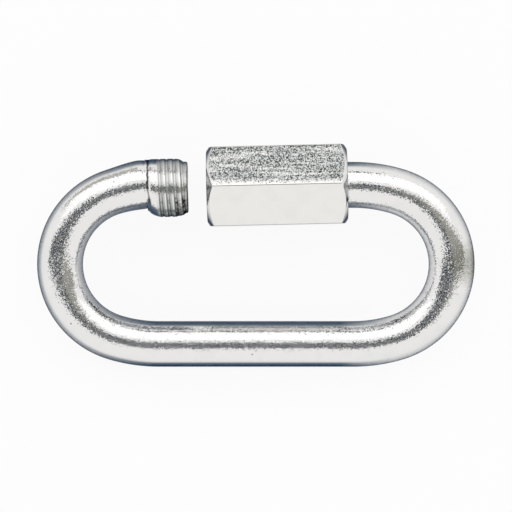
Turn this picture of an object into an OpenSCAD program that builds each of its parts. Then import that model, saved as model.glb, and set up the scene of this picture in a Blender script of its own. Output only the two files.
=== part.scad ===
// Chain quick link: a bent round bar whose two ends face each other across a gate,
// and a hexagonal sleeve nut that runs on their studs and bridges the gate.
// It lies as it comes to rest: back leg and one edge of the sleeve on the plane z = 0.

/* [Bent rod] */
// Diameter of the round bar
rod_d = 6; // [4:0.1:8]
// Clear width inside the link, from the back leg to the arms
inner_width = 15; // [12:0.1:22]
// Clear length inside the link, from bow to bow
inner_length = 45.2; // [42:0.1:65]
// Radius of the gentle arc that leads into and out of each bow
ease_r = 19.6; // [16:0.2:30]
// Angle that each gentle arc turns
ease_angle = 17; // [6:1:24]

/* [Studs] */
// Height that the upset studs stand proud of the bar all round
stud_upset = 0.8; // [0.6:0.05:1.4]
// Opening between the two stud ends
opening = 7.5; // [5:0.1:9]
// Length of the short stud that the sleeve closes on
catch_length = 5.3; // [4.6:0.1:8]
// Length of the long stud that carries the sleeve
carrier_length = 7; // [5.5:0.1:9]
// Reach of the short stud's tip past the end of its bow
catch_reach = 3.9; // [3:0.1:6]
// Radius of the round shoulder where a stud swells out of the bar
shoulder_r = 3; // [2:0.1:3.6]
// Radius of the round tip of a stud
tip_r = 3.6; // [2.4:0.1:3.8]
// Axial length of the shoulder's arc
shoulder_length = 2.1; // [1.4:0.1:2.1]
// Axial length of the tip's arc
tip_length = 1.9; // [0.8:0.1:2]
// Angle by which the line of the studs runs out of parallel with the back leg
gate_slope = 1.3; // [0:0.1:2]

/* [Sleeve nut] */
// Length of the sleeve
sleeve_length = 18.3; // [15:0.1:22]
// Wall of the sleeve in the middle of a flat
sleeve_wall = 1.27; // [0.9:0.02:2.4]
// Radial clearance between the sleeve's bore and the studs
bore_clearance = 0.08; // [0.04:0.01:0.1]
// Depth that is worn round off the hexagon's long edges
edge_wear = 0.1; // [0.05:0.01:0.2]
// Depth that the end chamfer takes off the middle of each flat
chamfer_depth = 0.35; // [0.1:0.05:0.6]
// Slope of the end chamfer, measured from the end face
chamfer_angle = 34; // [25:1:50]
// Depth of the countersink at each mouth of the bore
countersink = 0.3; // [0.1:0.05:0.5]

/* [Pose] */
// Gap left open between the short stud's tip and the sleeve
gate_gap = 2.45; // [0.5:0.05:5]

/* [Hidden] */
$fn = 96;
zinc = "#c9ced3";
bright_zinc = "#d6dade";

// Bar and bows, in the link's own plane with the back leg's axis along X through the origin
rod_r = rod_d / 2;
arm_spacing = inner_width + rod_d;
bow_r = ease_r - (ease_r - arm_spacing / 2) / cos(ease_angle);
bow_x = (inner_length + rod_d) / 2 - bow_r;
leg_half = bow_x - (ease_r - bow_r) * sin(ease_angle);

// Lap of the gentle arcs into their neighbours, and how much slimmer they are so that it stays inside
lap = 0.2;
lap_step = 0.01;

// Stations along the gate line, counted from the root of the long stud
stud_r = rod_r + stud_upset;
carrier_tip = -carrier_length;
catch_tip = carrier_tip - opening;
catch_root = catch_tip - catch_length;
sleeve_start = catch_tip + gate_gap;
gate_root_x = -leg_half + catch_reach - catch_tip * cos(gate_slope);

// Hexagon
bore_r = stud_r + bore_clearance;
flat_r = bore_r + sleeve_wall;
corner_r = flat_r / cos(30);
edge_reach = corner_r - edge_wear;
end_face_r = flat_r - chamfer_depth / tan(chamfer_angle);

// Rest: the link leans from the back leg up to the sleeve's lower edge
function gate_width(station) = arm_spacing + station * sin(gate_slope);
lean = asin((edge_reach - rod_r) / gate_width(sleeve_start));
far_side = gate_width(sleeve_start + sleeve_length) * cos(lean) + flat_r;
mid_y = (far_side - rod_r) / 2;

// Places children drawn in the link's own plane into the resting frame
module at_rest() {
  translate([0, -mid_y, rod_r]) rotate([lean, 0, 0]) children();
}

// Places children drawn along +X onto the gate line, at a station along it
module on_gate(station) {
  translate([gate_root_x, arm_spacing, 0]) rotate([0, 0, gate_slope])
    translate([station, 0, 0]) children();
}

// Turns a solid of revolution about Z so that it runs along +X
module along_x() {
  rotate([0, 90, 0]) children();
}

// Straight bar from one X to another, at a height in the link's plane
module bar(from_x, to_x, y) {
  translate([from_x, y, 0]) along_x() cylinder(r = rod_r, h = to_x - from_x);
}

// Bent bar: an arc of a bar about a centre, from one angle through another
module bent_bar(centre, arc_r, bar_r, from, turn) {
  translate(centre) rotate([0, 0, from])
    rotate_extrude(angle = turn) translate([arc_r, 0]) circle(r = bar_r);
}

// Gentle arc out of the back leg; it laps into the leg and the bow, a hair slimmer than they are
module ease() {
  lap_angle = lap / ease_r * 180 / PI;
  bent_bar([leg_half, ease_r], ease_r, rod_r - lap_step, -90 - lap_angle, ease_angle + 2 * lap_angle);
}

// Right-hand bow: a round arc between two gentle ones
module bow() {
  bent_bar([bow_x, arm_spacing / 2], bow_r, rod_r, ease_angle - 90, 180 - 2 * ease_angle);
  ease();
  translate([0, arm_spacing, 0]) mirror([0, 1, 0]) ease();
}

// Half section of a stud, radius along X and root to tip along Y
module stud_section(length) {
  crest = [shoulder_length, length - tip_length];
  translate([0, crest[0]]) square([stud_r, crest[1] - crest[0]]);
  intersection() {
    translate([stud_r - shoulder_r, crest[0]]) circle(r = shoulder_r);
    square([stud_r, crest[0]]);
  }
  intersection() {
    translate([stud_r - tip_r, crest[1]]) circle(r = tip_r);
    translate([0, crest[1]]) square([stud_r, tip_length]);
  }
}

// Stud with its root at the origin and its tip along +X
module stud(length) {
  along_x() rotate_extrude() stud_section(length);
}

// Bent bar with an upset stud on each end
module link_rod() {
  catch_seat = gate_root_x + catch_tip - tip_length;
  carrier_seat = gate_root_x - shoulder_length;
  color(zinc) at_rest() {
    bar(-leg_half, leg_half, 0);
    bow();
    mirror([1, 0, 0]) bow();
    bar(-leg_half, catch_seat, arm_spacing);
    bar(carrier_seat, leg_half, arm_spacing);
    on_gate(catch_root) stud(catch_length);
    on_gate(0) mirror([1, 0, 0]) stud(carrier_length);
  }
}

// Hexagon with worn corners, one corner along +Y
module hexagon() {
  intersection() {
    rotate(30) circle(r = corner_r, $fn = 6);
    circle(r = edge_reach);
  }
}

// Turned envelope that chamfers both ends of the hexagon
module turned_envelope() {
  run = (corner_r - end_face_r) * tan(chamfer_angle);
  along_x() rotate_extrude() polygon([
    [0, 0],
    [end_face_r, 0],
    [corner_r, run],
    [corner_r, sleeve_length - run],
    [end_face_r, sleeve_length],
    [0, sleeve_length],
  ]);
}

// Through bore with a countersink at each mouth
module bore() {
  along_x() cylinder(r = bore_r, h = sleeve_length);
  for (end = [0, 1]) translate([end * sleeve_length, 0, 0]) mirror([end, 0, 0])
    along_x() cylinder(r1 = bore_r + countersink, r2 = bore_r, h = countersink);
}

// Hexagonal sleeve nut, with an edge turned to the resting plane
module sleeve_nut() {
  color(bright_zinc) at_rest() on_gate(sleeve_start) rotate([-lean, 0, 0])
    difference() {
      intersection() {
        rotate([90, 0, 90]) linear_extrude(sleeve_length) hexagon();
        turned_envelope();
      }
      bore();
    }
}

link_rod();
sleeve_nut();
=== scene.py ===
"""Chain quick link: a bent zinc plated bar with two threaded studs, and the hexagonal sleeve nut
that closes the gate between them. Run as a script, it builds the pieces round the packed part."""

import math
from functools import partial
from types import SimpleNamespace

import bmesh
import bpy
from mathutils import Matrix, Vector


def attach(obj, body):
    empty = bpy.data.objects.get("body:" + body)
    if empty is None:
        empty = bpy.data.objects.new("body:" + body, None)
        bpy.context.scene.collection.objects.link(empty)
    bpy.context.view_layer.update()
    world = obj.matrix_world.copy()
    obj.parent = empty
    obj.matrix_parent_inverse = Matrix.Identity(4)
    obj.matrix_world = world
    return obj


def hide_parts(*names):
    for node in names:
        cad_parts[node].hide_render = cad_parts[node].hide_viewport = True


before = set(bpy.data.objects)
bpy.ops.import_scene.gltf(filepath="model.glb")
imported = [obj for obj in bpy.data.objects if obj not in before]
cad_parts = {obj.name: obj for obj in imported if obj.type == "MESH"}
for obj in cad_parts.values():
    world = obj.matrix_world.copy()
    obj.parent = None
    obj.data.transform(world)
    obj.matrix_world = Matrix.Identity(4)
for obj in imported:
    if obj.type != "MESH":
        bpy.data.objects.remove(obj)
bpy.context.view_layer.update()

bl_info = {
    "name": "Chain quick link",
    "version": (1, 0, 0),
    "blender": (4, 5, 0),
    "location": "3D View > Sidebar > Quick Link",
    "description": "Models a zinc plated chain quick link with its hexagonal sleeve nut",
    "category": "Add Mesh",
}

MM = 0.001
HAIR = 0.002 * MM  # anything closer than this is the same place
LOOSE = 10 * HAIR  # the same, for places that were turned onto the gate line
SMOOTH_UNDER = math.radians(40)  # edges that turn less than this are shaded smooth

# How finely the round shapes are divided
BAR_SIDES = 96
EASE_STEPS = 12
BOW_STEPS = 73
STUD_CUTS = 100
FLAT_CUTS = 15
BORE_CUTS = (60, 2)  # along the bore, then within each of those steps


# Sizes and colours that a user would change


def linear(code):
    """Linear RGB of an sRGB hex colour."""
    parts = [int(code[i : i + 2], 16) / 255 for i in (1, 3, 5)]
    return tuple(c / 12.92 if c <= 0.04045 else ((c + 0.055) / 1.055) ** 2.4 for c in parts)


def length(name, description, millimetres):
    """A length property, its default in millimetres."""
    return bpy.props.FloatProperty(
        name=name, description=description, default=millimetres * MM,
        min=0.0, precision=5, subtype="DISTANCE", unit="LENGTH",
    )


def angle(name, description, degrees):
    """An angle property, its default in degrees."""
    return bpy.props.FloatProperty(
        name=name, description=description, default=math.radians(degrees),
        min=0.0, subtype="ANGLE", unit="ROTATION",
    )


def colour(name, description, code):
    """A colour property, its default an sRGB hex value."""
    return bpy.props.FloatVectorProperty(
        name=name, description=description, default=linear(code),
        size=3, min=0.0, max=1.0, subtype="COLOR",
    )


def factor(name, description, share):
    """A property that is a share from 0 to 1."""
    return bpy.props.FloatProperty(
        name=name, description=description, default=share, min=0.0, max=1.0, subtype="FACTOR",
    )


class LinkBarSizes(bpy.types.PropertyGroup):
    """Sizes of the bent bar and its two studs"""

    bar_diameter: length("Bar diameter", "Diameter of the round bar", 6)
    inside_width: length("Inside width", "Clear width from the back leg to the arms", 15)
    inside_length: length("Inside length", "Clear length from bow to bow", 45.2)
    ease_radius: length("Ease radius", "Radius of the gentle arc beside each bow", 19.6)
    ease_angle: angle("Ease angle", "Angle that each gentle arc turns", 17)
    stud_upset: length("Stud upset", "Height of the studs over the bar", 0.8)
    opening: length("Opening", "Opening between the stud ends", 7.5)
    catch_length: length("Short stud", "Length of the stud that the sleeve closes on", 5.3)
    carrier_length: length("Long stud", "Length of the stud that carries the sleeve", 7)
    catch_reach: length("Reach", "Reach of the short stud's tip past its bow", 3.9)
    shoulder_radius: length("Shoulder radius", "Radius of a stud's round shoulder", 3)
    shoulder_length: length("Shoulder length", "Axial length of the shoulder's arc", 2.1)
    tip_radius: length("Tip radius", "Radius of a stud's round tip", 3.6)
    tip_length: length("Tip length", "Axial length of the tip's arc", 1.9)
    gate_slope: angle("Gate slope", "Slope of the studs' line against the back leg", 1.3)
    neck_swell: length("Neck swell", "Swelling of the bar where the short stud was upset", 0.22)
    thread_pitch: length("Thread pitch", "Pitch of the right-hand thread", 0.97)
    thread_depth: length("Thread depth", "Depth of the stud's thread", 0.06)


class SleeveNutSizes(bpy.types.PropertyGroup):
    """Sizes of the hexagonal sleeve nut and where it stands on the gate"""

    sleeve_length: length("Length", "Length of the sleeve", 18.3)
    sleeve_wall: length("Wall", "Wall in the middle of a flat", 1.27)
    bore_clearance: length("Bore clearance", "Clearance between bore and studs", 0.08)
    edge_wear: length("Edge wear", "Depth worn off the long edges", 0.1)
    chamfer_depth: length("Chamfer depth", "Depth of the end chamfer on a flat", 0.35)
    chamfer_angle: angle("Chamfer angle", "Slope of the end chamfer from the end face", 34)
    countersink: length("Countersink", "Depth of the countersink at each mouth", 0.3)
    thread_depth: length("Thread depth", "Depth of the thread in the bore", 0.2)
    gate_gap: length("Gate gap", "Gap between the short stud and the sleeve", 2.45)


class ZincFinish(bpy.types.PropertyGroup):
    """Colours and grain of the zinc plate"""

    bar_zinc: colour("Bar zinc", "Bright zinc on the bent bar", "#e8e7e6")
    sleeve_zinc: colour("Sleeve zinc", "Bright zinc on the sleeve nut", "#eae8e5")
    dull_zinc: colour("Dull zinc", "Zinc where the plate has dulled", "#b4bac0")
    edge_tint: colour("Edge tint", "Tint of the bar seen at a low angle", "#626a7b")
    sleeve_tint: colour("Sleeve edge tint", "Tint of the sleeve seen at a low angle", "#8a909c")
    # Painted dark bluish reflection on the bar's sides
    reflected_side_colour: colour("Side zinc", "Zinc where it is not rubbed", "#576572")
    # How strongly the painted reflection on the bar's sides and the painted shade in the sleeve's
    # chamfer corners cover the zinc
    painted_darkening: factor("Side dulling", "How far the unrubbed sides are duller", 0.95)
    # Painted shade in the corners of the sleeve's end chamfers
    slate_corner_colour: colour("Corner zinc", "Zinc in the corners at the sleeve's ends", "#393f49")
    scuffed_zinc: colour("Scuffed zinc", "Zinc on the scuffed flat of the sleeve", "#bfc2c1")
    scuff_marks: colour("Scuff marks", "Pepper marks on the scuffed flat", "#3c3e3c")
    tarnish: colour("Tarnish", "Tarnished zinc outside the right bow", "#8a8a7e")
    # Painted shade on the thread's flanks and fine lines
    thread_line_colour: colour("Thread zinc", "Thin dull zinc on the threads", "#4b524d")
    # Painted shade that darkens the thread towards its sides
    flank_colour: colour("Dull thread", "Zinc on the sides of the threads", "#5a6462")
    # Colour of the pinholes and of the painted shade in the crease and threads
    grime: colour("Grime", "Oily dirt in the thread and the crease", "#26211c")
    grain: length("Grain", "Size of the grain in the plate", 0.105)
    lean: factor("Grain lean", "How far the grain of the bar leans", 0.19)
    sleeve_lean: factor("Sleeve grain lean", "How far the grain of the sleeve leans", 0.07)


class StudioLook(bpy.types.PropertyGroup):
    """Floor, light and camera of the stage"""

    paper: colour("Paper", "Colour of the floor", "#f8f8f8")
    camera_height: length("Camera height", "Height of the camera over the floor", 405.9)


# Shape of the link, worked out from the sizes

THREAD_CREST = -18.43 * MM  # a crest faces up at this station of the short stud
THREAD_FLANK = (0.44, 0.84)  # where a flank starts and ends, on the way from crest to root


def link_plan():
    """Works out the link from its sizes, in its own plane: back leg along X, arms at +Y.
    Stations run along the gate line and count from the root of the long stud."""
    bar = bpy.context.scene.link_bar
    nut = bpy.context.scene.sleeve_nut
    bar_r = bar.bar_diameter / 2
    spacing = bar.inside_width + bar.bar_diameter
    bow_r = bar.ease_radius - (bar.ease_radius - spacing / 2) / math.cos(bar.ease_angle)
    bow_x = (bar.inside_length + bar.bar_diameter) / 2 - bow_r
    leg_half = bow_x - (bar.ease_radius - bow_r) * math.sin(bar.ease_angle)
    catch_tip = -bar.carrier_length - bar.opening
    sleeve_start = catch_tip + nut.gate_gap
    root_x = -leg_half + bar.catch_reach - catch_tip * math.cos(bar.gate_slope)
    stud_r = bar_r + bar.stud_upset
    bore_r = stud_r + nut.bore_clearance
    flat_r = bore_r + nut.sleeve_wall
    corner_r = flat_r / math.cos(math.pi / 6)
    edge_reach = corner_r - nut.edge_wear

    def gate_width(station):
        return spacing + station * math.sin(bar.gate_slope)

    lean = math.asin((edge_reach - bar_r) / gate_width(sleeve_start))
    far_side = gate_width(sleeve_start + nut.sleeve_length) * math.cos(lean) + flat_r
    middle = Matrix.Translation((0, (bar_r - far_side) / 2, bar_r))
    gate_root = Matrix.Translation((root_x, spacing, 0))
    return SimpleNamespace(
        bar_r=bar_r, spacing=spacing, bow_x=bow_x, leg_half=leg_half,
        catch_root=catch_tip - bar.catch_length, sleeve_start=sleeve_start,
        stud_r=stud_r, bore_r=bore_r, corner_r=corner_r,
        end_face_r=flat_r - nut.chamfer_depth / math.tan(nut.chamfer_angle),
        lean=lean, at_rest=middle @ Matrix.Rotation(lean, 4, "X"),
        on_gate=gate_root @ Matrix.Rotation(bar.gate_slope, 4, "Z"),
    )


def smooth(value, low, high):
    """Eases from 0 at low to 1 at high."""
    t = min(max((value - low) / (high - low), 0.0), 1.0)
    return t * t * (3 - 2 * t)


def thread_turn(station, turn, pitch):
    """How far a place on a stud or bore is through its turn of the right-hand thread, from one
    crest to the next."""
    return ((station - THREAD_CREST) / pitch - (turn - math.pi / 2) / (2 * math.pi)) % 1.0


def thread_groove(through):
    """Depth of the thread, 0 on the crest and 1 at the root."""
    return smooth(1 - abs(2 * through - 1), *THREAD_FLANK)


# Modelling steps on the active piece


def start_piece(name, add_primitive, **settings):
    """Adds a primitive with everything else deselected, applies its place and opens it in edit
    mode."""
    bpy.ops.object.select_all(action="DESELECT")
    add_primitive(**settings)
    piece = bpy.context.object
    piece.name = piece.data.name = name
    bpy.ops.object.transform_apply(location=True, rotation=True, scale=True)
    bpy.ops.object.mode_set(mode="EDIT")
    return piece


def select_vertices(piece, wanted):
    """Selects the vertices whose place passes the test, and what they enclose."""
    bpy.ops.mesh.select_mode(type="VERT")
    bpy.ops.mesh.select_all(action="DESELECT")
    mesh = bmesh.from_edit_mesh(piece.data)
    for vertex in mesh.verts:
        vertex.select_set(wanted(vertex.co))
    mesh.select_flush(True)
    bmesh.update_edit_mesh(piece.data)


def select_edges(piece, wanted):
    """Selects the edges that pass the test."""
    bpy.ops.mesh.select_mode(type="EDGE")
    bpy.ops.mesh.select_all(action="DESELECT")
    mesh = bmesh.from_edit_mesh(piece.data)
    for edge in mesh.edges:
        edge.select_set(wanted(edge))
    bmesh.update_edit_mesh(piece.data)


def extrude(step, scale=1.0, about=None):
    """Extrudes the selected ring by a step, then scales it about a point."""
    bpy.ops.mesh.extrude_region_move(TRANSFORM_OT_translate={"value": tuple(step)})
    if about is not None:
        bpy.ops.transform.resize(value=(scale, scale, scale), center_override=tuple(about))


def spin(steps, turn, centre):
    """Spins the selected ring about an upright axis, anticlockwise from above."""
    bpy.ops.mesh.spin(steps=steps, angle=-turn, center=tuple(centre), axis=(0, 0, 1))


def tilt(turn, centre):
    """Turns the selection about an upright axis, anticlockwise from above."""
    bpy.ops.transform.rotate(
        value=-turn, orient_axis="Z", orient_type="GLOBAL", center_override=tuple(centre)
    )


def close_up():
    """Merges doubles and turns every face outwards."""
    bpy.ops.mesh.select_all(action="SELECT")
    bpy.ops.mesh.remove_doubles(threshold=HAIR / 4)
    bpy.ops.mesh.normals_make_consistent(inside=False)


def displace(piece, name, weights, strength):
    """Pushes the vertices of a group along their normals, each by its weight, and applies it."""
    group = piece.vertex_groups.new(name=name)
    for index, weight in weights.items():
        group.add([index], weight, "REPLACE")
    modifier = piece.modifiers.new(name, "DISPLACE")
    modifier.vertex_group = name
    modifier.mid_level = 0.0
    modifier.strength = strength
    bpy.ops.object.modifier_apply(modifier=name)


def mark(piece, name, amounts):
    """Writes an amount for each vertex to an attribute that the material reads."""
    attribute = piece.data.attributes.new(name, "FLOAT", "POINT")
    for index, amount in amounts.items():
        attribute.data[index].value = amount


def set_down(piece, place, material, body, node):
    """Puts a finished mesh in its place, gives it its material and ties it to the packed part."""
    piece.matrix_world = place
    bpy.ops.object.transform_apply(location=True, rotation=True, scale=True)
    piece.data.materials.clear()
    piece.data.materials.append(material)
    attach(piece, body)
    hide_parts(node)


# The bent bar


class StudShape:
    """Outside of one stud and of the bar that it grows out of, about the gate line."""

    CORE = 2.5 * MM  # the stub that the stud is swelled from
    SWELL = 1.5 * MM  # the most that the stub swells
    BEFORE = 0.3 * MM  # the stub starts this far before the root
    RIM = 0.1 * MM  # and ends this far short of the tip
    RIM_STEPS = ((0.6, 0.985), (0.3, 0.975), (0.1, 0.965), (0.0, 0.55))  # share of the rim, scale
    NECK = 5.5 * MM  # length of the bar that swells beside the short stud
    LIFT = 0.7  # how much more the neck swells on its outer side
    CREASE_AT = 0.16 * MM  # the crease under the shoulder, from the root
    CREASE_WIDTH = 0.24 * MM
    CREASE_DEPTH = 0.09 * MM
    OVER_BAR = 0.02 * MM  # the shoulder starts at least this far over the bar
    RUN_OUT = (1.2 * MM, 1.7 * MM)  # where the thread runs out, from the root
    CUT = 0.4 * MM  # the deepest that a thread or nick cuts
    NICK_AT = 0.5 * MM  # the nick, from the short stud's tip
    NICK_WIDTH = 0.16 * MM
    NICK_TURN = 0.3  # radians
    NICK_CUT = 0.6  # share of the deepest cut
    DARK_TIP = (2.2 * MM, 1.2 * MM)  # the painted shade thickens between these, from the tip
    SCORES = 3  # painted shade lines in each turn, for the fine lines that the die left

    def __init__(self, plan, side):
        bar = bpy.context.scene.link_bar
        self.plan, self.bar, self.side = plan, bar, side
        self.root = plan.catch_root if side < 0 else 0.0
        self.length = bar.catch_length if side < 0 else bar.carrier_length
        self.swell = bar.neck_swell if side < 0 else 0.0
        self.start = self.root + side * self.BEFORE
        self.end = self.root - side * (self.length - self.RIM)

    def depth(self, station):
        """Distance of a station from the root, towards the tip."""
        return (self.root - station) * self.side

    def stud_radius(self, depth):
        """Radius of the stud at a distance from its root."""
        bar, stud_r = self.bar, self.plan.stud_r
        into_shoulder = max(bar.shoulder_length - depth, 0.0)
        into_tip = max(depth - (self.length - bar.tip_length), 0.0)
        shoulder = bar.shoulder_radius - math.sqrt(bar.shoulder_radius**2 - into_shoulder**2)
        tip = bar.tip_radius - math.sqrt(max(bar.tip_radius**2 - into_tip**2, 0.0))
        return stud_r - shoulder - tip

    def axis_of_bar(self, x):
        """Place of the bar's axis across the link, on its arm or on the gentle arc beside it."""
        past = max(abs(x) - self.plan.leg_half, 0.0)
        reach = self.bar.ease_radius
        return self.plan.spacing - reach + math.sqrt(reach**2 - past**2)

    def bar_distance(self, station, turn):
        """Distance from the gate line to the bar's surface."""
        on_line = self.plan.on_gate @ Vector((station, 0, 0))
        offset = self.axis_of_bar(on_line.x) - on_line.y
        radius = self.plan.bar_r + self.swell * (1 + self.LIFT * math.cos(turn))
        return offset * math.cos(turn) + math.sqrt(radius**2 - (offset * math.sin(turn)) ** 2)

    def outside(self, station, turn):
        """Radius of the outside, and how near the place is to the crease under the shoulder."""
        depth = self.depth(station)
        bar = self.bar_distance(station, turn)
        crease = math.exp(-(((depth - self.CREASE_AT) / self.CREASE_WIDTH) ** 2))
        if depth < 0:
            return bar - self.CREASE_DEPTH * crease, crease
        if depth > self.length / 2:
            return self.stud_radius(depth), 0.0
        root_r, stud_r = self.stud_radius(0.0), self.plan.stud_r
        risen = (self.stud_radius(depth) - root_r) / (stud_r - root_r)
        start = min(max(root_r, bar + self.OVER_BAR), stud_r)
        return start + risen * (stud_r - start) - self.CREASE_DEPTH * crease, crease


def sweep_half(piece, plan, shape):
    """Sweeps the bar from the middle of the back leg round one bow to the stub of its stud."""
    bar = bpy.context.scene.link_bar
    side, reach = shape.side, bar.ease_radius
    end_of_arm = plan.on_gate @ Vector((shape.root + side * 2 * shape.BEFORE, 0, 0))
    past = max(side * end_of_arm.x - plan.leg_half, 0.0)
    slope = math.asin(past / reach)

    select_vertices(piece, lambda co: abs(co.x) < HAIR)
    extrude((side * plan.leg_half, 0, 0))
    spin(EASE_STEPS, side * bar.ease_angle, (side * plan.leg_half, reach, 0))
    bow_turn = side * (math.pi - 2 * bar.ease_angle)
    spin(BOW_STEPS, bow_turn, (side * plan.bow_x, plan.spacing / 2, 0))
    upper = (side * plan.leg_half, plan.spacing - reach, 0)
    spin(EASE_STEPS, side * (bar.ease_angle - slope), upper)
    arm_end = Vector((end_of_arm.x, shape.axis_of_bar(end_of_arm.x), 0))
    if not past:
        extrude((arm_end.x - side * plan.leg_half, 0, 0))

    # The stub stands on the gate line, square to it, slimmer than the bar
    first = plan.on_gate @ Vector((shape.start, 0, 0))
    extrude(first - arm_end, shape.CORE / plan.bar_r, first)
    tilt(bar.gate_slope + side * slope, first)
    last = plan.on_gate @ Vector((shape.end, 0, 0))
    extrude(last - first)
    from_gate = plan.on_gate.inverted()

    def along_stub(edge):
        ends = sorted((from_gate @ v.co).x for v in edge.verts)
        wanted = sorted((shape.start, shape.end))
        return all(abs(a - b) < LOOSE for a, b in zip(ends, wanted))

    select_edges(piece, along_stub)
    bpy.ops.mesh.subdivide(number_cuts=STUD_CUTS)


def stud_weights(piece, plan, shapes):
    """Weights that swell the stubs and the neck, weights that cut the threads, and the marks that
    the material reads: painted shade on the thread's lines, painted shade in the crease and
    threads, and where the thread was cut."""
    from_gate = plan.on_gate.inverted()
    bar = bpy.context.scene.link_bar
    long_tip = plan.on_gate.translation.x - bar.carrier_length
    swell, thread, film, grime, cut = {}, {}, {}, {}, {}
    for vertex in piece.data.vertices:
        if vertex.co.y < plan.spacing / 2:
            continue
        index, place = vertex.index, from_gate @ vertex.co
        shape = shapes[0] if vertex.co.x < long_tip else shapes[1]
        low, high = sorted((shape.start, shape.end))
        if low - LOOSE < place.x < high + LOOSE:
            turn = math.atan2(place.z, place.y)
            radius, crease = shape.outside(place.x, turn)
            swell[index] = (radius - shape.CORE) / shape.SWELL
            depth = shape.depth(place.x)
            run = smooth(depth, *shape.RUN_OUT)
            through = thread_turn(place.x, turn, bar.thread_pitch)
            groove = run * thread_groove(through)
            deep = groove * bar.thread_depth / shape.CUT
            if shape.side < 0:
                # The thread runs out in a nick at the short stud's tip
                off_nick = (depth - shape.length + shape.NICK_AT) / shape.NICK_WIDTH
                deep += shape.NICK_CUT * math.exp(-(off_nick**2) - (turn / shape.NICK_TURN) ** 2)
            thread[index] = min(deep, 1.0)
            cut[index] = run
            # Painted shade on the thread's near side, deepest in the bottoms and by the tip
            near = smooth(math.cos(turn), 0.05, -0.35)
            tip = smooth(depth, *(shape.length - back for back in shape.DARK_TIP))
            in_thread = near * run * (0.35 + 0.3 * tip) + 0.25 * groove
            # Painted shade also in the crease under the shoulder
            grime[index] = max(crease * (1 - 0.45 * near), in_thread)
            # Painted shade on the thread's flanks and in the finer lines that the die left, heavier
            # on the near side
            from_root = abs(2 * through - 1)
            crest, root = smooth(from_root, 0.55, 0.85), smooth(from_root, 0.25, 0.05)
            lines = 1 - 0.85 * crest - 0.4 * root
            scored = 0.5 + 0.5 * math.cos(2 * math.pi * (shape.SCORES * through + 0.25))
            line_shade = max(0.75 * lines + 0.5 * scored - 0.25, 0.0)
            film[index] = run * line_shade * (0.6 + 0.3 * near)
        elif shape.swell:
            rise = smooth(place.x, shape.root - shape.NECK, shape.root - shape.BEFORE)
            outward = (vertex.co.y - shape.axis_of_bar(vertex.co.x)) / plan.bar_r
            swell[index] = rise * shape.swell * (1 + shape.LIFT * outward) / shape.SWELL
    return swell, thread, {"film": film, "grime": grime, "cut": cut}


def cap_stud(piece, plan, shape):
    """Closes a stud's tip with a rounded rim and a flat face."""
    from_gate = plan.on_gate.inverted()
    rim = plan.on_gate @ Vector((shape.end, 0, 0))
    tip = plan.on_gate @ Vector((shape.end - shape.side * shape.RIM, 0, 0))
    out = tip - rim

    def on_rim(co):
        return co.y > plan.spacing / 2 and abs((from_gate @ co).x - shape.end) < LOOSE

    select_vertices(piece, on_rim)
    for rise, scale in shape.RIM_STEPS:
        extrude(out * rise, scale, rim + out)
    extrude((0, 0, 0))
    bpy.ops.mesh.merge(type="CENTER")


class QUICKLINK_OT_link_bar(bpy.types.Operator):
    """Models the bent bar with its two threaded studs"""

    bl_idname = "quick_link.link_bar"
    bl_label = "Link bar"

    def execute(self, context):
        plan = link_plan()
        shapes = (StudShape(plan, -1), StudShape(plan, 1))
        piece = start_piece(
            "link_bar", bpy.ops.mesh.primitive_circle_add,
            vertices=BAR_SIDES, radius=plan.bar_r, rotation=(0, math.pi / 2, 0),
        )
        for shape in shapes:
            sweep_half(piece, plan, shape)
        bpy.ops.mesh.select_all(action="SELECT")
        bpy.ops.mesh.normals_make_consistent(inside=False)
        bpy.ops.object.mode_set(mode="OBJECT")
        swell, thread, marks = stud_weights(piece, plan, shapes)
        for name, amounts in marks.items():
            mark(piece, name, amounts)
        displace(piece, "swell", swell, StudShape.SWELL)
        displace(piece, "thread", thread, -StudShape.CUT)
        bpy.ops.object.mode_set(mode="EDIT")
        for shape in shapes:
            cap_stud(piece, plan, shape)
        close_up()
        bpy.ops.object.mode_set(mode="OBJECT")
        piece.vertex_groups.clear()
        bpy.ops.object.shade_smooth_by_angle(angle=SMOOTH_UNDER)
        set_down(piece, plan.at_rest, bar_plate(), "link", "link_rod")
        return {"FINISHED"}


# The sleeve nut, modelled along X from its end at the origin

EDGE_ROUND = 0.25 * MM  # radius of the long edges, under the solid's wear so the ridge stays crisp
END_BREAK = 0.09 * MM  # bevel on the sharp edges of the ends
SHARP_OVER = math.radians(20)  # an edge that turns more than this is sharp
MOUTH_RUN = 0.6 * MM  # the thread fades in over this length at each mouth
RIDGE_RUB_LIGHT = (0.45 * MM, 0.08 * MM)  # below the top edge, where its rub and painted highlight start and are full


def from_axis(co):
    """Distance of a place from the sleeve's axis."""
    return math.hypot(co.y, co.z)


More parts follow.
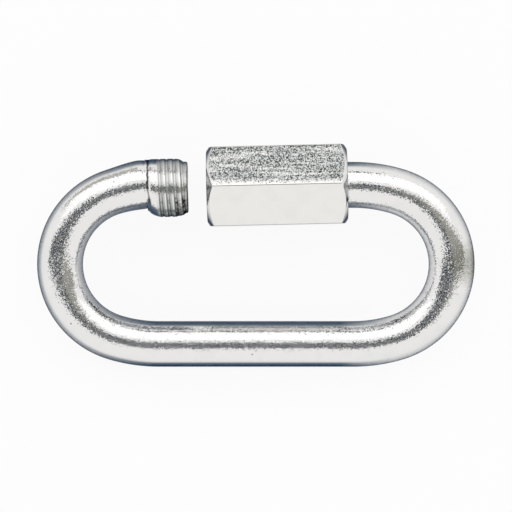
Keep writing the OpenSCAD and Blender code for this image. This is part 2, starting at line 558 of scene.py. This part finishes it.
def end_of_sleeve(piece, plan, inward, x):
    """Turns the chamfer, the end face and the countersink onto one end of the hexagon."""
    nut = bpy.context.scene.sleeve_nut
    select_vertices(piece, lambda co: abs(co.x - x) < HAIR)
    extrude((0, 0, 0))
    bpy.ops.transform.tosphere(value=1.0)
    mesh = bmesh.from_edit_mesh(piece.data)
    ring = [v for v in mesh.verts if v.select]
    circle_r = sum(from_axis(v.co) for v in ring) / len(ring)
    centre = Vector((x, 0, 0))
    scale = plan.end_face_r / circle_r
    bpy.ops.transform.resize(value=(scale, scale, scale), center_override=tuple(centre))

    # The turned chamfer runs further down the hexagon the nearer it is to a corner
    outline = [v.co for v in mesh.verts if abs(v.co.x - x) < HAIR and not v.select]
    slope = math.tan(nut.chamfer_angle)
    done = 0.0
    for reach in sorted({round(from_axis(co), 8) for co in outline}):
        if reach - done < HAIR / 10:
            continue
        done = reach

        def at_reach(co):
            return abs(co.x - x) < HAIR and abs(from_axis(co) - reach) < HAIR / 4

        select_vertices(piece, at_reach)
        bpy.ops.transform.translate(value=(inward * (reach - plan.end_face_r) * slope, 0, 0))

    select_vertices(piece, lambda co: abs(co.x - x) < HAIR)
    extrude((0, 0, 0), (plan.bore_r + nut.countersink) / plan.end_face_r, centre)
    mouth = Vector((inward * nut.countersink, 0, 0))
    extrude(mouth, plan.bore_r / (plan.bore_r + nut.countersink), centre + mouth)


class QUICKLINK_OT_sleeve_nut(bpy.types.Operator):
    """Models the hexagonal sleeve nut with its chamfered ends and threaded bore"""

    bl_idname = "quick_link.sleeve_nut"
    bl_label = "Sleeve nut"

    def execute(self, context):
        plan = link_plan()
        nut = context.scene.sleeve_nut
        span, sink = nut.sleeve_length, nut.countersink
        nearly_span = 0.9 * span
        piece = start_piece(
            "sleeve_hexagon", bpy.ops.mesh.primitive_cylinder_add,
            vertices=6, radius=plan.corner_r, depth=span, end_fill_type="NOTHING",
            location=(span / 2, 0, 0), rotation=(0, math.pi / 2, 0),
        )
        bpy.ops.mesh.select_all(action="SELECT")
        bpy.ops.transform.rotate(
            value=math.pi / 6, orient_axis="X", orient_type="GLOBAL", center_override=(0, 0, 0)
        )
        select_edges(piece, lambda edge: edge.calc_length() > nearly_span)
        bpy.ops.mesh.bevel(
            offset=EDGE_ROUND * math.tan(math.pi / 6), offset_type="OFFSET", segments=6,
            affect="EDGES",
        )
        select_edges(piece, lambda edge: plan.corner_r / 2 < edge.calc_length() < nearly_span)
        bpy.ops.mesh.subdivide(number_cuts=FLAT_CUTS)
        end_of_sleeve(piece, plan, 1, 0.0)
        end_of_sleeve(piece, plan, -1, span)

        # The bore joins the two mouths and is divided finely enough to carry its thread
        def in_bore(co):
            return abs(from_axis(co) - plan.bore_r) < HAIR

        def along_bore(edge):
            start, end = (v.co for v in edge.verts)
            return in_bore(start) and in_bore(end) and abs(start.x - end.x) > HAIR

        select_vertices(piece, lambda co: abs(co.x - sink) < HAIR and in_bore(co))
        extrude((span - 2 * sink, 0, 0))
        for cuts in BORE_CUTS:
            select_edges(piece, along_bore)
            bpy.ops.mesh.subdivide(number_cuts=cuts)
        close_up()

        # The sharp edges outside the mouths are broken
        def sharp_outside(edge):
            nearest = min(from_axis(v.co) for v in edge.verts)
            return edge.calc_face_angle(0.0) > SHARP_OVER and nearest > plan.bore_r + 1.5 * sink

        select_edges(piece, sharp_outside)
        bpy.ops.mesh.bevel(offset=END_BREAK, offset_type="OFFSET", segments=3, affect="EDGES")
        bpy.ops.object.mode_set(mode="OBJECT")

        pitch = context.scene.link_bar.thread_pitch
        thread = {}
        for vertex in piece.data.vertices:
            co = vertex.co
            if in_bore(co):
                turn = math.atan2(co.z, co.y) - plan.lean
                run = smooth(min(co.x, span - co.x), sink, sink + MOUTH_RUN)
                through = thread_turn(co.x + plan.sleeve_start, turn, pitch)
                thread[vertex.index] = run * (1 - thread_groove(through))
        displace(piece, "thread", thread, -nut.thread_depth)
        # A lighter strip along the top ridge, partly rub and partly a painted highlight
        rub_light_from, rub_light_to = (plan.corner_r - below for below in RIDGE_RUB_LIGHT)
        rub = {v.index: smooth(v.co.z, rub_light_from, rub_light_to) for v in piece.data.vertices}
        mark(piece, "rub", rub)
        piece.vertex_groups.clear()
        bpy.ops.object.shade_smooth_by_angle(angle=SMOOTH_UNDER)
        modifier = piece.modifiers.new("flats", "WEIGHTED_NORMAL")
        modifier.keep_sharp = True
        bpy.ops.object.modifier_apply(modifier="flats")

        place = plan.at_rest @ plan.on_gate @ Matrix.Translation((plan.sleeve_start, 0, 0))
        place = place @ Matrix.Rotation(-plan.lean, 4, "X")
        set_down(piece, place, sleeve_plate(), "sleeve", "sleeve_nut")
        return {"FINISHED"}


# Materials

MULTIPLY = {"operation": "MULTIPLY"}
ABSOLUTE = {"operation": "ABSOLUTE"}


def add_node(tree, kind, settings=None, links=None):
    """Adds a node, sets its properties and input values, and links its inputs."""
    node = tree.nodes.new(kind)
    for name, value in (settings or {}).items():
        if isinstance(name, str) and hasattr(node, name):
            setattr(node, name, value)
        else:
            node.inputs[name].default_value = value
    for name, source in (links or {}).items():
        tree.links.new(source, node.inputs[name])
    return node


def start_plate(name, zinc):
    """Starts bright electroplated zinc on drawn steel. The bath leaves a fine crystal grain that
    shows where a reflection changes; handling rubs some of it bright and leaves the rest duller."""
    look = bpy.context.scene.zinc_finish
    material = bpy.data.materials.new(name)
    material.use_nodes = True
    material.node_tree.nodes.clear()
    node = partial(add_node, material.node_tree)
    place = node("ShaderNodeTexCoord").outputs["Object"]
    facing = node("ShaderNodeNewGeometry").outputs["Normal"]
    upright = node("ShaderNodeSeparateXYZ", None, {0: facing}).outputs["Z"]
    upright = node("ShaderNodeMath", ABSOLUTE, {0: upright}).outputs[0]
    # Crystals, drawn about twice as coarse as the real ones so that they show
    cells = node("ShaderNodeTexVoronoi", {"Scale": 1 / look.grain}, {0: place}).outputs
    crystals = cells["Color"]
    # Most crystals lie nearly flat and some stand well out of line
    spread = node("ShaderNodeTexWhiteNoise", None, {"Vector": cells["Position"]}).outputs["Value"]
    spread = node(
        "ShaderNodeMapRange", {1: 0.45, 2: 0.75, 3: 0.35, 4: 1.35}, {0: spread}
    ).outputs[0]
    # Waves left in the bar by drawing, about 2 mm across
    waves = node(
        "ShaderNodeTexNoise", {"Scale": 1 / (2.2 * MM), "Detail": 2.0}, {0: place}
    ).outputs["Fac"]
    dulled = node("ShaderNodeMapRange", {1: 0.45, 2: 0.8, 4: 0.12}, {0: waves}).outputs[0]
    base = node(
        "ShaderNodeMix", {"data_type": "RGBA", 6: (*zinc, 1), 7: (*look.dull_zinc, 1)}, {0: dulled}
    ).outputs[2]
    roughness = node("ShaderNodeMapRange", {3: 0.05, 4: 0.1}, {0: crystals}).outputs[0]
    return SimpleNamespace(
        material=material, node=node, place=place, facing=facing, upright=upright,
        crystals=crystals, spread=spread, waves=waves, base=base, roughness=roughness,
    )


def finish_plate(plate, layers, lean, edge_tint):
    """Lays each shade over the plate by its amount, leans every crystal its own way, adds the waves
    and ends in a metal that darkens at a low angle."""
    node = plate.node
    base = plate.base
    for amount, shade in layers:
        base = node(
            "ShaderNodeMix", {"data_type": "RGBA", 7: (*shade, 1)}, {0: amount, 6: base}
        ).outputs[2]
    leaning = node(
        "ShaderNodeVectorMath",
        {"operation": "MULTIPLY_ADD", 1: (lean,) * 3, 2: (-lean / 2,) * 3}, {0: plate.crystals},
    ).outputs[0]
    leaning = node(
        "ShaderNodeVectorMath", {"operation": "SCALE"}, {0: leaning, "Scale": plate.spread}
    ).outputs[0]
    leaning = node(
        "ShaderNodeVectorMath", {"operation": "ADD"}, {0: plate.facing, 1: leaning}
    ).outputs[0]
    leaning = node("ShaderNodeVectorMath", {"operation": "NORMALIZE"}, {0: leaning}).outputs[0]
    bump = node(
        "ShaderNodeBump", {"Distance": 0.012 * MM}, {"Height": plate.waves, "Normal": leaning}
    ).outputs["Normal"]
    shader = node(
        "ShaderNodeBsdfPrincipled", {"Metallic": 1.0, "Specular Tint": (*edge_tint, 1)},
        {"Base Color": base, "Roughness": plate.roughness, "Normal": bump},
    ).outputs["BSDF"]
    node("ShaderNodeOutputMaterial", None, {"Surface": shader})
    return plate.material


def bar_plate():
    """Zinc plated drawn bar: bright broad faces between bluish bands of painted dark reflection,
    painted shade on the threads' lines and sides, painted shade in the crease, on the threads' near
    side and towards their tips, pinholes, and a tarnished patch outside the right bow."""
    look = bpy.context.scene.zinc_finish
    plate = start_plate("zinc_plated_drawn_bar", look.bar_zinc)
    node = plate.node
    # Painted reflection: a dark bluish band on the sides, between the broad faces and the outermost
    # side lines, which are left bright
    side_reflection = node(
        "ShaderNodeMapRange", {1: 0.68, 2: 0.55, 4: look.painted_darkening}, {0: plate.upright}
    ).outputs[0]
    outer = node("ShaderNodeMapRange", {1: 0.12, 2: 0.36, 3: 0.15}, {0: plate.upright}).outputs[0]
    side_reflection = node("ShaderNodeMath", MULTIPLY, {0: side_reflection, 1: outer}).outputs[0]
    # The painted side reflection is weaker on the bows, on the right one most
    along = node("ShaderNodeSeparateXYZ", None, {0: plate.place}).outputs["X"]
    for start, end, left in ((11 * MM, 18 * MM, 0.15), (-13 * MM, -24 * MM, 0.45)):
        kept = node(
            "ShaderNodeMapRange", {1: start, 2: end, 3: 1.0, 4: left}, {0: along}
        ).outputs[0]
        side_reflection = node("ShaderNodeMath", MULTIPLY, {0: side_reflection, 1: kept}).outputs[0]
    # The painted side reflection stops on the threads, which get a painted shade instead that
    # darkens little by little towards their sides
    cut = node("ShaderNodeAttribute", {"attribute_name": "cut"}).outputs["Fac"]
    uncut = node("ShaderNodeMath", {"operation": "SUBTRACT", 0: 1.0}, {1: cut}).outputs[0]
    side_reflection = node("ShaderNodeMath", MULTIPLY, {0: side_reflection, 1: uncut}).outputs[0]
    flank_shade = node("ShaderNodeMapRange", {1: 0.92, 2: 0.4, 4: 0.6}, {0: plate.upright}).outputs[0]
    flank_shade = node("ShaderNodeMath", MULTIPLY, {0: flank_shade, 1: cut}).outputs[0]

    # Tarnish: some crystals more than others, within a patch 7.6 mm across
    patch_r = 3.8 * MM
    middle = Vector((26.8 * MM, -0.9 * MM, 5.0 * MM))
    patch = node(
        "ShaderNodeMapping", {"Location": -middle / patch_r, "Scale": (1 / patch_r,) * 3},
        {0: plate.place},
    ).outputs[0]
    patch = node("ShaderNodeTexGradient", {"gradient_type": "SPHERICAL"}, {0: patch}).outputs["Fac"]
    spots = node("ShaderNodeMapRange", {1: 0.3, 2: 0.7, 3: 0.4}, {0: plate.crystals}).outputs[0]
    tarnish = node("ShaderNodeMath", MULTIPLY, {0: patch, 1: spots}).outputs[0]
    tarnish = node("ShaderNodeMapRange", {1: 0.02, 2: 0.45, 4: 0.8}, {0: tarnish}).outputs[0]

    # Pinholes, about a quarter of a millimetre wide and a few millimetres apart
    holes = node("ShaderNodeTexVoronoi", {"Scale": 1 / (1.6 * MM)}, {0: plate.place}).outputs
    pinholes = node(
        "ShaderNodeMapRange", {1: 0.05, 2: 0.1, 3: 0.7, 4: 0.0}, {0: holes["Distance"]}
    ).outputs[0]
    some = node("ShaderNodeMapRange", {1: 0.5, 2: 0.6}, {0: holes["Color"]}).outputs[0]
    pinholes = node("ShaderNodeMath", MULTIPLY, {0: pinholes, 1: some}).outputs[0]

    # Painted shade on the threads' lines, and painted shade in the crease and threads broken into
    # blots half a millimetre across, both rougher
    film = node("ShaderNodeAttribute", {"attribute_name": "film"}).outputs["Fac"]
    grime = node("ShaderNodeAttribute", {"attribute_name": "grime"}).outputs["Fac"]
    blots = node(
        "ShaderNodeTexNoise", {"Scale": 1 / (0.5 * MM), "Detail": 3.0, "Roughness": 0.7},
        {0: plate.place},
    ).outputs["Fac"]
    grime = node("ShaderNodeMath", MULTIPLY, {0: grime, 1: blots}).outputs[0]
    grime = node("ShaderNodeMapRange", {1: 0.3, 2: 0.48, 4: 0.95}, {0: grime}).outputs[0]
    for amount, rougher in ((film, 0.35), (grime, 0.3)):
        plate.roughness = node(
            "ShaderNodeMath", {"operation": "MULTIPLY_ADD", 1: rougher},
            {0: amount, 2: plate.roughness},
        ).outputs[0]
    layers = (
        (side_reflection, look.reflected_side_colour),
        (flank_shade, look.flank_colour),
        (tarnish, look.tarnish),
        (pinholes, look.grime),
        (film, look.thread_line_colour),
        (grime, look.grime),
    )
    return finish_plate(plate, layers, look.lean, look.edge_tint)


def sleeve_plate():
    """Zinc plated hexagon bar: smooth bright flats but for one that was scuffed in tumbling, which
    is greyer, peppered by its grain and drawn in faint streaks along the bar; a lighter strip under
    the top ridge, partly rub and partly a painted highlight, and painted slate shade in the corners
    of the end chamfers."""
    look = bpy.context.scene.zinc_finish
    plate = start_plate("zinc_plated_hexagon_bar", look.sleeve_zinc)
    node = plate.node
    # The scuffed flat is the upper one on the far side, less a strip along its ridge that is partly
    # rub and partly a painted highlight
    scuffed = (0.0, math.sin(math.pi / 6), math.cos(math.pi / 6))
    scuff = node(
        "ShaderNodeVectorMath", {"operation": "DOT_PRODUCT", 1: scuffed}, {0: plate.facing}
    ).outputs["Value"]
    scuff = node("ShaderNodeMapRange", {1: 0.955, 2: 0.985}, {0: scuff}).outputs[0]
    rub = node("ShaderNodeAttribute", {"attribute_name": "rub"}).outputs["Fac"]
    kept = node("ShaderNodeMapRange", {1: 0.05, 2: 0.95, 3: 1.0, 4: 0.0}, {0: rub}).outputs[0]
    scuff = node("ShaderNodeMath", MULTIPLY, {0: scuff, 1: kept}).outputs[0]
    # Streaks 7 mm long and 0.4 mm wide, and pepper marks that thin out in the light ones
    per_streak = (1 / (7 * MM), 1 / (0.4 * MM), 1 / (0.4 * MM))
    streaks = node("ShaderNodeMapping", {"Scale": per_streak}, {0: plate.place}).outputs[0]
    streaks = node("ShaderNodeTexNoise", {"Scale": 1.0, "Detail": 2.0}, {0: streaks}).outputs["Fac"]
    streaks = node("ShaderNodeMapRange", {1: 0.62, 2: 0.45, 3: 0.4}, {0: streaks}).outputs[0]
    streaks = node("ShaderNodeMath", MULTIPLY, {0: streaks, 1: scuff}).outputs[0]
    marks = node("ShaderNodeMapRange", {1: 0.42, 2: 0.62}, {0: plate.crystals}).outputs[0]
    marks = node("ShaderNodeMath", MULTIPLY, {0: marks, 1: streaks}).outputs[0]
    # Painted shade on the end chamfers and end faces, where they face away from the top
    endways = node("ShaderNodeSeparateXYZ", None, {0: plate.facing}).outputs["X"]
    endways = node("ShaderNodeMath", ABSOLUTE, {0: endways}).outputs[0]
    endways = node(
        "ShaderNodeMapRange", {1: 0.3, 2: 0.7, 4: look.painted_darkening}, {0: endways}
    ).outputs[0]
    corner_shade = node("ShaderNodeMapRange", {1: 0.45, 2: 0.2}, {0: plate.upright}).outputs[0]
    corner_shade = node("ShaderNodeMath", MULTIPLY, {0: endways, 1: corner_shade}).outputs[0]
    layers = (
        (streaks, look.scuffed_zinc),
        (marks, look.scuff_marks),
        (corner_shade, look.slate_corner_colour),
    )
    return finish_plate(plate, layers, look.sleeve_lean, look.sleeve_tint)


def plain_card(name, shade, glow=0.0):
    """Matt studio card. Where it glows, the camera and metal see that share of it as plain white
    and the rest as a matt sheet that keeps the shadows."""
    material = bpy.data.materials.new(name)
    material.use_nodes = True
    material.node_tree.nodes.clear()
    node = partial(add_node, material.node_tree)
    sheet = node("ShaderNodeBsdfDiffuse", {"Color": (*shade, 1)}).outputs["BSDF"]
    if glow:
        rays = node("ShaderNodeLightPath").outputs
        seen = rays["Is Camera Ray"]
        for ray in ("Is Glossy Ray", "Is Transmission Ray"):
            seen = node(
                "ShaderNodeMath", {"operation": "MAXIMUM"}, {0: seen, 1: rays[ray]}
            ).outputs[0]
        seen = node("ShaderNodeMath", {"operation": "MULTIPLY", 1: glow}, {0: seen}).outputs[0]
        white = node("ShaderNodeEmission", {"Color": (1, 1, 1, 1), "Strength": 1.0})
        sheet = node(
            "ShaderNodeMixShader", None, {0: seen, 1: sheet, 2: white.outputs["Emission"]}
        ).outputs["Shader"]
    node("ShaderNodeOutputMaterial", None, {"Surface": sheet})
    return material


# The stage, in metres

FLOOR_HALF = 3.0
PAPER_GLOW = 0.9
SLOT_LEFT, SLOT_RIGHT = -0.75, 0.10  # the pale card over the camera and its slats, across
SLOT_FRONT, SLOT_BACK = -0.205, 0.06  # and from front to back
SLOT_HEIGHT, SLAT_HEIGHT = 0.51, 0.5
SLATS, SLAT_SPACING, SLAT_WIDTH = 4, 0.0725, 0.04
SOFTBOX_SIZE = (1.6, 0.5)
SOFTBOX_BACK, SOFTBOX_HEIGHT = 0.42, 0.46
SOFTBOX_GLOW = 0.345  # brightness of its face, where 1 is white
CAMERA_AT = (0.02 * MM, -0.01 * MM)
CAMERA_LENS = 215.9  # millimetres, on a sensor 36 mm wide


def hang_card(name, low, high, material, seen):
    """Hangs a flat card between two corners and sets whether the camera sees it."""
    bpy.ops.object.select_all(action="DESELECT")
    bpy.ops.mesh.primitive_plane_add(size=1.0)
    card = bpy.context.object
    card.name = card.data.name = name
    low, high = Vector(low), Vector(high)
    spans = [axis for axis in range(3) if high[axis] != low[axis]]
    for vertex in card.data.vertices:
        corner = low.copy()
        for axis, share in zip(spans, vertex.co):
            corner[axis] = low[axis] + (share + 0.5) * (high[axis] - low[axis])
        vertex.co = corner
    card.data.materials.append(material)
    card.visible_camera = seen


class QUICKLINK_OT_stage(bpy.types.Operator):
    """Lays the floor and sets the light and the camera"""

    bl_idname = "quick_link.stage"
    bl_label = "Stage"

    def execute(self, context):
        scene = context.scene
        look = scene.studio_look
        scene.view_settings.view_transform = "Standard"

        world = bpy.data.worlds.new("light_tent")
        world.use_nodes = True
        tree = world.node_tree
        tree.nodes.clear()
        sky = add_node(tree, "ShaderNodeBackground", {"Color": (1, 1, 1, 1), "Strength": 1.0})
        add_node(tree, "ShaderNodeOutputWorld", None, {"Surface": sky.outputs["Background"]})
        scene.world = world

        paper = plain_card("white_paper", look.paper, PAPER_GLOW)
        hang_card("floor", (-FLOOR_HALF, -FLOOR_HALF, 0), (FLOOR_HALF, FLOOR_HALF, 0), paper, True)

        # Cards that only the metal sees. Pale with dark slats, the slot that the camera looks
        # through draws the peppered bands, and a grey card ends it on the right; a dark gap behind
        # draws the thin line along the leg, and a pale card behind softens the left arm.
        dark = plain_card("dark_card", linear("#4e5763"))
        grey = plain_card("grey_card", linear("#adada5"))
        pale = plain_card("pale_card", linear("#c6c5c0"))
        black = plain_card("black_card", linear("#181b20"))
        cards = [
            ("camera_slot", (SLOT_LEFT, SLOT_FRONT, SLOT_HEIGHT),
             (SLOT_RIGHT, SLOT_BACK, SLOT_HEIGHT), pale),
        ]
        for slat in range(SLATS):
            front = SLOT_FRONT + SLAT_SPACING * slat
            cards.append(
                ("slat_%d" % (slat + 1), (SLOT_LEFT, front, SLAT_HEIGHT),
                 (SLOT_RIGHT, front + SLAT_WIDTH, SLAT_HEIGHT), dark)
            )
        cards += [
            ("slot_end", (SLOT_RIGHT, -0.21, SLAT_HEIGHT), (1.2, SLOT_BACK, SLAT_HEIGHT), grey),
            ("back_gap", (-0.15, 0.6, 0.232), (0.15, 0.6, 0.308), black),
            ("back_left", (-0.75, 0.45, 0.0), (-0.1, 0.45, 0.17), pale),
        ]
        for name, low, high, material in cards:
            hang_card(name, low, high, material, False)

        light = bpy.data.lights.new("back_softbox", "AREA")
        light.shape = "RECTANGLE"
        light.size, light.size_y = SOFTBOX_SIZE
        light.energy = SOFTBOX_GLOW * math.pi * light.size * light.size_y
        softbox = bpy.data.objects.new("back_softbox", light)
        softbox.location = (0, SOFTBOX_BACK, SOFTBOX_HEIGHT)
        softbox.rotation_euler = (-math.atan2(SOFTBOX_BACK, SOFTBOX_HEIGHT), 0, 0)
        softbox.visible_camera = False
        scene.collection.objects.link(softbox)

        camera = bpy.data.cameras.new("camera")
        camera.sensor_width = 36.0
        camera.lens = CAMERA_LENS
        camera.clip_start = 0.01
        holder = bpy.data.objects.new("camera", camera)
        holder.location = (*CAMERA_AT, look.camera_height)
        scene.collection.objects.link(holder)
        scene.camera = holder
        return {"FINISHED"}


# Sidebar and registration


class QUICKLINK_PT_sidebar(bpy.types.Panel):
    """Lists the sizes, colours and steps of the quick link"""

    bl_idname = "QUICKLINK_PT_sidebar"
    bl_label = "Quick Link"
    bl_space_type = "VIEW_3D"
    bl_region_type = "UI"
    bl_category = "Quick Link"

    def draw(self, context):
        for name in GROUPS:
            group = getattr(context.scene, name)
            box = self.layout.box()
            box.label(text=GROUPS[name].__doc__)
            for field in GROUPS[name].__annotations__:
                box.prop(group, field)
        for step in STEPS:
            self.layout.operator(step.bl_idname)


GROUPS = {
    "link_bar": LinkBarSizes,
    "sleeve_nut": SleeveNutSizes,
    "zinc_finish": ZincFinish,
    "studio_look": StudioLook,
}
STEPS = (QUICKLINK_OT_link_bar, QUICKLINK_OT_sleeve_nut, QUICKLINK_OT_stage)


def register():
    for name, group in GROUPS.items():
        bpy.utils.register_class(group)
        setattr(bpy.types.Scene, name, bpy.props.PointerProperty(type=group))
    for step in (*STEPS, QUICKLINK_PT_sidebar):
        bpy.utils.register_class(step)


def unregister():
    for step in (QUICKLINK_PT_sidebar, *reversed(STEPS)):
        bpy.utils.unregister_class(step)
    for name, group in reversed(GROUPS.items()):
        delattr(bpy.types.Scene, name)
        bpy.utils.unregister_class(group)


def main():
    register()
    bpy.ops.quick_link.link_bar()
    bpy.ops.quick_link.sleeve_nut()
    bpy.ops.quick_link.stage()


if __name__ == "__main__":
    main()
